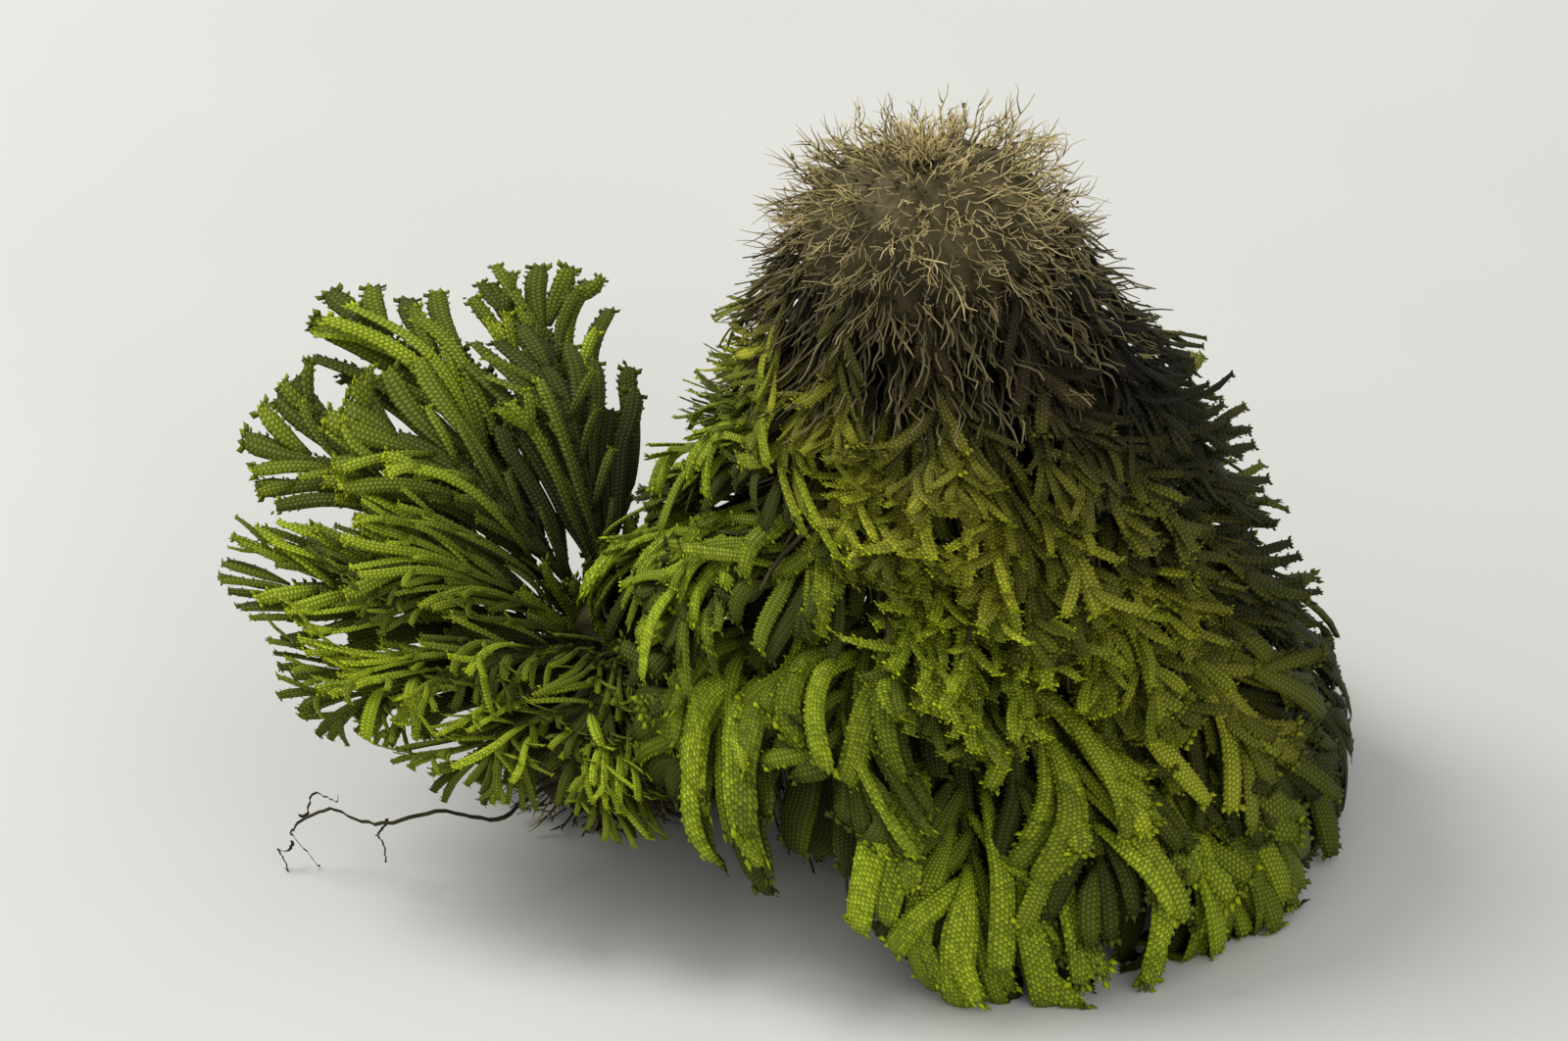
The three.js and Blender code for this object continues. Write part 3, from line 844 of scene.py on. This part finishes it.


def weave_height(nodes, light):
    """The rows of overlapping scale leaves on a finger: from 0 between leaves to 1 on one, the
    share of them that shows, and each leaf's own lightness."""
    weave = nodes.add("ShaderNodeAttribute", attribute_name="weave")
    parts = nodes.add("ShaderNodeSeparateXYZ", {"Vector": weave.outputs["Vector"]})
    along, place, share = (parts.outputs[c] for c in "XYZ")
    row = nodes.math("FLOOR", place)
    along = nodes.math("ADD", along, nodes.math("MULTIPLY", row, 0.5))
    leaf = nodes.math("FRACT", along)
    rise = nodes.math("DIVIDE", leaf, LEAF_RISE)
    fall = nodes.math("DIVIDE", nodes.math("SUBTRACT", 1.0, leaf), 1 - LEAF_RISE)
    slope = nodes.math("MINIMUM", rise, fall)
    middle = nodes.math("SUBTRACT", nodes.math("FRACT", place), 0.5)
    edge = nodes.math("SUBTRACT", 1.0, nodes.math("MULTIPLY", nodes.math("ABSOLUTE", middle), 2.0))
    height = nodes.math("MULTIPLY", slope, nodes.math("POWER", edge, 0.5))
    inputs = {"X": nodes.math("SUBTRACT", along, leaf), "Y": row, "Z": light}
    cell = nodes.add("ShaderNodeCombineXYZ", inputs).outputs["Vector"]
    own = nodes.add("ShaderNodeTexWhiteNoise", {"Vector": cell}).outputs["Value"]
    return height, share, nodes.between(own, 0.6, 1.3)


def frond_material(name, older):
    """Scaly green of the fronds; older shifts it towards the brown of old growth."""
    nodes = Nodes(name)
    age, tip, light, leaf = nodes.growth()
    height, share, own = weave_height(nodes, light)
    blotch = nodes.between(nodes.noise(170), -0.16 - older, 0.16 - older)
    base = nodes.ramp(nodes.math("ADD", age, blotch), AGES)
    limed = nodes.math("MULTIPLY", nodes.math("MAXIMUM", nodes.between(leaf, 0.3, 1), height), tip)
    base = nodes.mix(limed, base, linear(LIME))
    # A painted highlight on the raised middle of each leaf in the weave on a finger's top, stronger further
    # from the neck.
    highlight = nodes.math("MULTIPLY", nodes.math("POWER", height, 2.0), SCALE_HIGHLIGHT_SHARE)
    highlight = nodes.math("MULTIPLY", highlight, share)
    highlight = nodes.math("MULTIPLY", highlight, nodes.between(age, 0, 1))
    base = nodes.mix(highlight, base, linear(SCALE_HIGHLIGHT))
    # Painted shade: darker in the grooves between the scale leaves of the weave and towards the base of
    # each separate scale leaf, times each leaf's own random tone in the weave.
    leaves = nodes.math("MULTIPLY", nodes.between(height, 0.4, 1.35), own)
    weave_shade_and_tone = nodes.mix(share, nodes.grey(nodes.between(leaf, 0.5, 0.9)), nodes.grey(leaves))
    base = nodes.mix(1.0, base, weave_shade_and_tone, "MULTIPLY")
    # Each vertex's lightness: its random tone and the painted shade set on the mesh.
    base = nodes.shaded(base, nodes.between(light, 0.1, 1.75))
    roughness = nodes.between(nodes.noise(900), 0.5, 0.75)
    grain = nodes.between(nodes.noise(3500, 3), 0, 0.3)
    relief = nodes.math("ADD", nodes.math("MULTIPLY", height, share), grain)
    return nodes.surface(base, roughness, 0.18, relief, 0.8, 0.00022)


def root_material(name, dark, pale):
    """Dry brown fibre, paler towards the ends of the rootlets."""
    nodes = Nodes(name)
    _, paleness, lightness, _ = nodes.growth()
    paleness = nodes.math("ADD", paleness, nodes.between(nodes.noise(260), -0.25, 0.25))
    base = nodes.ramp(paleness, [(0.05, dark), (0.95, pale)])
    base = nodes.shaded(base, nodes.math("ADD", nodes.math("MULTIPLY", lightness, 0.7), 0.55))
    roughness = nodes.between(nodes.noise(700), 0.65, 0.9)
    return nodes.surface(base, roughness, 0.25, nodes.noise(2600, 4), 0.5, 0.0002)


# Rootlets: thin bent tubes, many at once

def perpendicular(ways):
    helper = np.where(np.abs(ways[:, 2:3]) > 0.8, (1.0, 0, 0), (0, 0, 1.0))
    first = unit(np.cross(ways, helper))
    return first, np.cross(ways, first)


def rootlet_lines(starts, ways, lengths, seeds, steps, bend, wave):
    """Middle lines as (rootlet, step, xyz), bent to one side and slightly wavy."""
    t = np.linspace(0, 1, steps + 1)
    first, second = perpendicular(ways)
    turn = between(seeds + 1, 0, 2 * np.pi)[:, None]
    aside = first * np.cos(turn) + second * np.sin(turn)
    amount = between(seeds + 2, 0.3, 1) * bend * lengths
    swing = between(seeds + 3, 0, 2 * np.pi)[:, None] + t * between(seeds + 4, 4, 9)[:, None]
    swing = swing[:, :, None]
    waves = first[:, None] * np.sin(swing) + second[:, None] * np.cos(swing * 0.8)
    waves -= waves[:, :1]
    return (
        starts[:, None]
        + ways[:, None] * (lengths[:, None] * t)[:, :, None]
        + aside[:, None] * (amount[:, None] * t**2)[:, :, None]
        + waves * (wave * lengths)[:, None, None]
    )


def tubes(lines, radii, pale, light, sides=3):
    """Closed tubes round middle lines. Each narrows to its end and gets paler by pale."""
    count, steps, _ = lines.shape
    ways = unit(lines[:, -1] - lines[:, 0])
    first, second = perpendicular(ways)
    angle = 2 * np.pi * np.arange(sides) / sides
    rim = first[:, None] * np.cos(angle)[:, None] + second[:, None] * np.sin(angle)[:, None]
    t = np.linspace(0, 1, steps)
    size = radii[:, None] * (1 - 0.65 * t)
    points = lines[:, :, None] + rim[:, None] * size[:, :, None, None]
    parts = []
    for i in range(count):
        growth = np.stack([0 * t, pale[i] * t**0.7, light[i] + 0 * t, t], 1)
        parts.append(loft(points[i], growth))
    return parts


def forked_rootlets(starts, ways, lengths, radii, seeds, pale, lighter=0):
    """Rootlets, each with two forks from its outer half."""
    bend, wave = 0.35, 0.05
    light = chance(seeds + 8) + lighter
    lines = rootlet_lines(starts, ways, lengths, seeds, 6, bend, wave)
    parts = tubes(lines, radii, pale, light)
    for n in range(2):
        own = seeds + 17 * (n + 1)
        step = 3 + n % 3
        ahead = unit(lines[:, step] - lines[:, step - 1])
        first, second = perpendicular(ahead)
        turn = between(own, 0, 2 * np.pi)[:, None]
        way = unit(ahead + 0.75 * (first * np.cos(turn) + second * np.sin(turn)))
        size = lengths * between(own + 1, 0.25, 0.45)
        side = rootlet_lines(lines[:, step], way, size, own + 2, 4, bend, wave)
        parts += tubes(side, radii * 0.7, pale, light)
    return parts


def jitter(seeds):
    return np.stack([between(seeds + n, -1, 1) for n in (0, 0.37, 0.71)], -1)


def numbered(count, first, step):
    """The numbers of so many things, and their seeds."""
    index = np.arange(count)
    return index, first + step * index


NECK_DEPTHS = [0, 0.4, 1.2, 4, 8, 10]  # below its top
NECK_SHARES = [0, 0.3, 0.66, 0.9, 0.98, 1.02]  # of its radius, at those depths


def neck_tuft():
    """Wiry rootlets that stand out all over the neck, short and upright on its top."""
    count = 700
    index, seeds = numbered(count, 900, 3.19)
    depth = 9.5 * ((index + 0.5) / count) ** 1.45
    radius = NECK_RADIUS * np.interp(depth, NECK_DEPTHS, NECK_SHARES)
    radial = main_crown.radial(index * math.radians(GOLDEN_ANGLE) + between(seeds, -0.3, 0.3))
    starts = main_crown.foot + main_crown.axis * depth[:, None] + radial * radius[:, None] * 0.92
    rise = np.interp(depth, [0, 1, 3, 7, 10], [1.6, 0.6, 0.25, -0.1, -0.6])
    rise += between(seeds + 1, -0.25, 0.25)
    ways = unit(radial - main_crown.axis * rise[:, None] + 0.3 * jitter(seeds + 2))
    lengths = between(seeds + 5, 3.5, 7.5) * np.interp(depth, [0, 1, 3], [0.55, 0.65, 1])
    radii = between(seeds + 6, 0.09, 0.18)
    pale = between(seeds + 7, 0.7, 1.1) * np.interp(depth, [0, 3, 9], [1.25, 1.1, 0.7])
    lighter = np.interp(depth, [0, 4, 9], [0.5, 0.4, 0])
    return forked_rootlets(starts, ways, lengths, radii, seeds, pale, lighter)


def branch_rootlets():
    """A mat of rootlets that hangs from the branch between the two crowns."""
    index, seeds = numbered(260, 12000, 3.77)
    share = chance(seeds)[:, None]
    near, far = np.array((8, 1.95, 6)), np.array((-17, 2.95, 9))
    turn = index * math.radians(GOLDEN_ANGLE)
    round_way = np.stack([0 * turn, np.cos(turn), np.sin(turn)], 1)
    starts = near + (far - near) * share + round_way * 2
    ways = unit(round_way - (0, 0, 0.35) + 0.5 * jitter(seeds + 2))
    lengths = between(seeds + 5, 3.5, 8)
    radii = between(seeds + 6, 0.12, 0.22)
    return forked_rootlets(starts, ways, lengths, radii, seeds, between(seeds + 7, 0, 0.5))


def neck_fur():
    """Old fibres that run down from the neck over the first ring."""
    index, seeds = numbered(1000, 5000, 2.87)
    azimuth = (index * GOLDEN_ANGLE) % 360
    distance = 13 * chance(seeds) ** 1.3
    depth = np.where(index % 4 == 0, between(seeds + 3, 1, 6), 0.3)
    start, normal = main_crown.sheet(azimuth, depth, distance)
    further, _ = main_crown.sheet(azimuth, depth - 0.8, distance + 3)
    ahead = unit(further - start) + normal * between(seeds + 1, 0.1, 0.45)[:, None]
    ways = unit(ahead + 0.2 * jitter(seeds + 2))
    lengths = between(seeds + 5, 3.5, 6.5)
    radii = between(seeds + 6, 0.14, 0.28)
    lines = rootlet_lines(start, ways, lengths, seeds, 5, 0.35, 0.07)
    return tubes(lines, radii, between(seeds + 7, 0.1, 0.6), chance(seeds + 8))


def clump_rootlets():
    """Rootlets of the side crown's clump, most of them under its fronds."""
    index, seeds = numbered(360, 8000, 3.43)
    height = between(seeds, -14.5, 0)
    radial = side_crown.radial(index * math.radians(GOLDEN_ANGLE))
    radius = np.interp(height, [-13, -6, -1], [9.4, 8.6, 6.6])[:, None]
    starts = side_crown.foot + side_crown.axis * height[:, None] + radial * radius
    rise = side_crown.axis * between(seeds + 1, -0.7, 0.3)[:, None]
    ways = unit(radial + rise + 0.3 * jitter(seeds + 2))
    lengths = between(seeds + 5, 3, 6.5)
    radii = between(seeds + 6, 0.14, 0.24)
    return forked_rootlets(starts, ways, lengths, radii, seeds, between(seeds + 7, 0, 0.5))


def inner_stems():
    """Old bare stems inside the main crown, which hang down behind its fronds."""
    steps = 12
    index, seeds = numbered(420, 7000, 4.13)
    azimuth = (index * GOLDEN_ANGLE) % 360
    depth = between(seeds, 13.5, 17)
    last = 12 + 46 * main_crown.reach(azimuth)
    lines = []
    for step in range(steps - 2):
        distance = 8 + (last - 8) * step / (steps - 3)
        lines.append(main_crown.sheet(azimuth, depth, distance)[0])
    inwards = unit((main_crown.foot - lines[-1]) * (1, 1, 0))
    floor_share = np.where(chance(seeds + 4) < 0.6, 0.02, between(seeds + 5, 0.1, 0.6))
    end = lines[-1].copy()
    end[:, 2] *= floor_share
    end += inwards * between(seeds + 1, 5, 14)[:, None]
    lines += [(lines[-1] + end) / 2 - inwards * 1.5, end]
    return stem_tubes(lines, seeds)


def stem_tubes(lines, seeds):
    lines = np.stack(lines, 1)
    steps = lines.shape[1]
    swing = np.arange(steps)[None] * between(seeds + 6, 0.7, 1.3)[:, None] + seeds[:, None]
    lines += 0.7 * np.stack([np.sin(swing), np.cos(0.8 * swing), 0 * swing], 2)
    lines[:, :, 2] = np.maximum(lines[:, :, 2], 0.6)
    return tubes(lines, between(seeds + 2, 0.35, 0.6), 0.2 + 0 * seeds, 0.5 * chance(seeds + 3))


def old_twigs():
    """Old bare twigs between the rings of the main crown, which close the gaps among them."""
    steps = 7
    index, seeds = numbered(520, 15000, 3.91)
    azimuth = (index * GOLDEN_ANGLE) % 360
    depth = between(seeds, 3, 9.5)
    first = between(seeds + 1, 4, 22)
    reach = main_crown.reach(azimuth)
    slant = between(seeds + 7, -9, 9)
    lines = []
    for step in range(steps):
        share = step / (steps - 1)
        distance = 4 + (first + 17 * share) * reach
        lines.append(main_crown.sheet(azimuth + slant * share, depth, distance)[0])
    return stem_tubes(lines, seeds)


def heart():
    """Short leafy shoots that stand in the middle of the side crown."""
    parts = []
    for i in range(56):
        seed = 20000 + 6.3 * i
        radial = side_crown.radial(i * math.radians(GOLDEN_ANGLE))
        origin = side_crown.foot + side_crown.axis * between(seed, 1, 6)
        origin += radial * between(seed + 1, 2, 5)
        way = unit(
            radial * between(seed + 2, 0.5, 1)
            + side_crown.axis * between(seed + 3, 0.2, 1)
            + 0.3 * jitter(seed + 4)
        )
        normal = unit(side_crown.axis - way * (way @ side_crown.axis))
        # The shoots' low lightness is a painted shade for the crown's shadowed middle.
        finger = Finger(
            (0, 0, 0), (between(seed + 5, 6, 12), 0, between(seed + 6, -1, 1.5)),
            between(seed + 7, 1.5, 2.4), seed, SPREAD,
            bow=between(seed + 8, -1, 1), curl=between(seed + 9, -1, 2),
            roll=between(seed + 10, -0.8, 0.8), tip=0.5, light=between(seed + 11, 0.2, 0.55),
        )
        plan = np.stack([way, np.cross(normal, way), normal])
        for points, faces, growth in finger.mesh():
            growth[:, 0] += 0.8
            parts.append((origin + points @ plan, faces, growth))
    return parts


STRAY_ROOT = [  # its bends, and the forks off it
    [
        (-18, 1, 7), (-22, -7, 6.5), (-29, -13, 6.8), (-37, -15, 7.4),
        (-44, -13, 6.6), (-49, -12, 6), (-49.8, -12, 3), (-47, -12.5, 0.4),
    ],
    [(-49, -12, 6), (-47.5, -11.5, 7.6), (-45, -12, 8.4)],
    [(-49.8, -12, 3), (-51, -12.2, 1.6), (-50.5, -13, 0.4)],
    [(-40, -14.2, 7), (-41, -15.5, 5.2), (-40.2, -16.5, 3.6)],
]


def stray_root():
    """A wiry root that stands out on the left and bends down to the surface."""
    parts = []
    for number, bends in enumerate(STRAY_ROOT):
        bends = np.array(bends, float)
        t = np.linspace(0, len(bends) - 1, 8 * len(bends))
        line = np.stack([np.interp(t, np.arange(len(bends)), bends[:, i]) for i in range(3)], 1)
        middle = (line[:-2] + line[1:-1] + line[2:]) / 3
        wave = np.sin(t[1:-1, None] * (3.1, 4.3, 3.7) + (number, 2, 4)) * (0.3, 0.4, 0.5)
        line[1:-1] = middle + wave + 0.12 * jitter(40 * number + np.arange(len(middle)))
        radius = 0.3 if number == 0 else 0.2
        parts += tubes(line[None], np.array([radius]), np.array([0.15]), np.array([0.1]), 6)
    return parts


SKIN_GRAIN = 0.75
SKIN_LUMPS = [(3.5, 1.1), (1.3, 0.6)]  # their size and strength


def rootstock_skin(material):
    """The model's rootstock with an even, rough, fibrous skin."""
    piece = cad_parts["rootstock"].copy()
    piece.data = piece.data.copy()
    piece.name = "rootstock_fine"
    bpy.context.scene.collection.objects.link(piece)
    piece.parent = None
    remesh = piece.modifiers.new("even", "REMESH")
    remesh.mode = "VOXEL"
    remesh.voxel_size = SKIN_GRAIN * MM
    for size, strength in SKIN_LUMPS:
        texture = bpy.data.textures.new(f"fibre_{size}", "CLOUDS")
        texture.noise_scale = size * MM
        rough = piece.modifiers.new(f"rough_{size}", "DISPLACE")
        rough.texture = texture
        rough.texture_coords = "LOCAL"
        rough.strength = strength * MM
        rough.mid_level = 0.62
    shaped = piece.evaluated_get(bpy.context.evaluated_depsgraph_get())
    mesh = bpy.data.meshes.new_from_object(shaped)
    piece.modifiers.clear()
    piece.data = mesh
    mesh.materials.clear()
    mesh.materials.append(material)
    places = np.zeros(len(mesh.vertices) * 3, np.float32)
    mesh.vertices.foreach_get("co", places)
    places = places.reshape(-1, 3)
    places[:, 2] = np.maximum(places[:, 2], 0)
    mesh.vertices.foreach_set("co", places.reshape(-1))
    high = places[:, 2] / MM
    nothing = 0 * high
    pale = np.interp(high, [60, 74], [0.12, 0.22])
    light = np.interp(high, [60, 74], [0.3, 0.2])
    add_growth(mesh, np.stack([nothing, pale, light, nothing], 1))
    return piece


# The plant

frond_materials = {
    "green": frond_material("green_frond", 0),
    "olive": frond_material("olive_frond", 0.03),
    "brown": frond_material("brown_frond", 0.06),
}
fibre = root_material("root_fibre", "2B2610", "BFAE7A")

for number, ring in enumerate(RINGS):
    for index in range(ring.count):
        frond = Frond(ring, number, index)
        piece = frond.build(frond_materials[ring.tone])
        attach(piece, "root")
        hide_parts(frond.name)

skin = rootstock_skin(fibre)
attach(skin, "root")
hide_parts("rootstock")

for name, parts in {
    "neck_tuft": neck_tuft(),
    "neck_fur": neck_fur(),
    "clump_rootlets": clump_rootlets(),
    "branch_rootlets": branch_rootlets(),
    "stray_root": stray_root(),
    "inner_stems": inner_stems(),
    "old_twigs": old_twigs(),
}.items():
    piece = mesh_object(name, *joined(parts), fibre)
    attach(piece, "root")

piece = mesh_object("heart", *joined(heart()), frond_materials["green"])
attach(piece, "root")


# Floor, light and camera

def floor():
    nodes = Nodes("pale_floor")
    shade = nodes.ramp(nodes.noise(6, 3), [(0.3, "C9C9C5"), (0.7, "D4D4D1")])
    nodes.feed(nodes.shader.inputs["Base Color"], shade)
    nodes.shader.inputs["Roughness"].default_value = 0.6
    bpy.ops.mesh.primitive_plane_add(size=6, location=(0, 0, 0))
    plane = bpy.context.object
    plane.name = "floor"
    plane.data.materials.append(nodes.material)


LIGHT_AIM = Vector((0, 0, 0.03))


def area_light(name, place, size, watts):
    light = bpy.data.lights.new(name, "AREA")
    light.shape = "DISK"
    light.size = size
    light.energy = watts
    lamp = bpy.data.objects.new(name, light)
    lamp.location = place
    lamp.rotation_euler = (LIGHT_AIM - Vector(place)).to_track_quat("-Z", "Y").to_euler()
    bpy.context.scene.collection.objects.link(lamp)


def studio():
    world = bpy.data.worlds.new("studio")
    bpy.context.scene.world = world
    world.use_nodes = True
    background = world.node_tree.nodes["Background"]
    background.inputs["Color"].default_value = (1, 0.995, 0.97, 1)
    background.inputs["Strength"].default_value = 0.62
    area_light("key", (-0.55, 0.25, 0.8), 0.5, 7)
    area_light("fill", (0.5, -0.8, 0.5), 0.8, 2.5)
    bpy.context.scene.view_settings.view_transform = "Standard"


def camera():
    """Looks along +Y and down, at the angle and distance judged from the photograph."""
    lens = bpy.data.cameras.new("camera")
    lens.angle = 2 * math.atan(FRAME_WIDTH / 2 / CAMERA_DISTANCE)
    lens.clip_start = 0.05
    eye = bpy.data.objects.new("camera", lens)
    tilt = math.radians(CAMERA_ELEVATION)
    back = Vector((0, -math.cos(tilt), math.sin(tilt)))
    eye.location = Vector(CAMERA_AIM) + back * CAMERA_DISTANCE
    eye.rotation_euler = (-back).to_track_quat("-Z", "Y").to_euler()
    bpy.context.scene.collection.objects.link(eye)
    bpy.context.scene.camera = eye


floor()
studio()
camera()
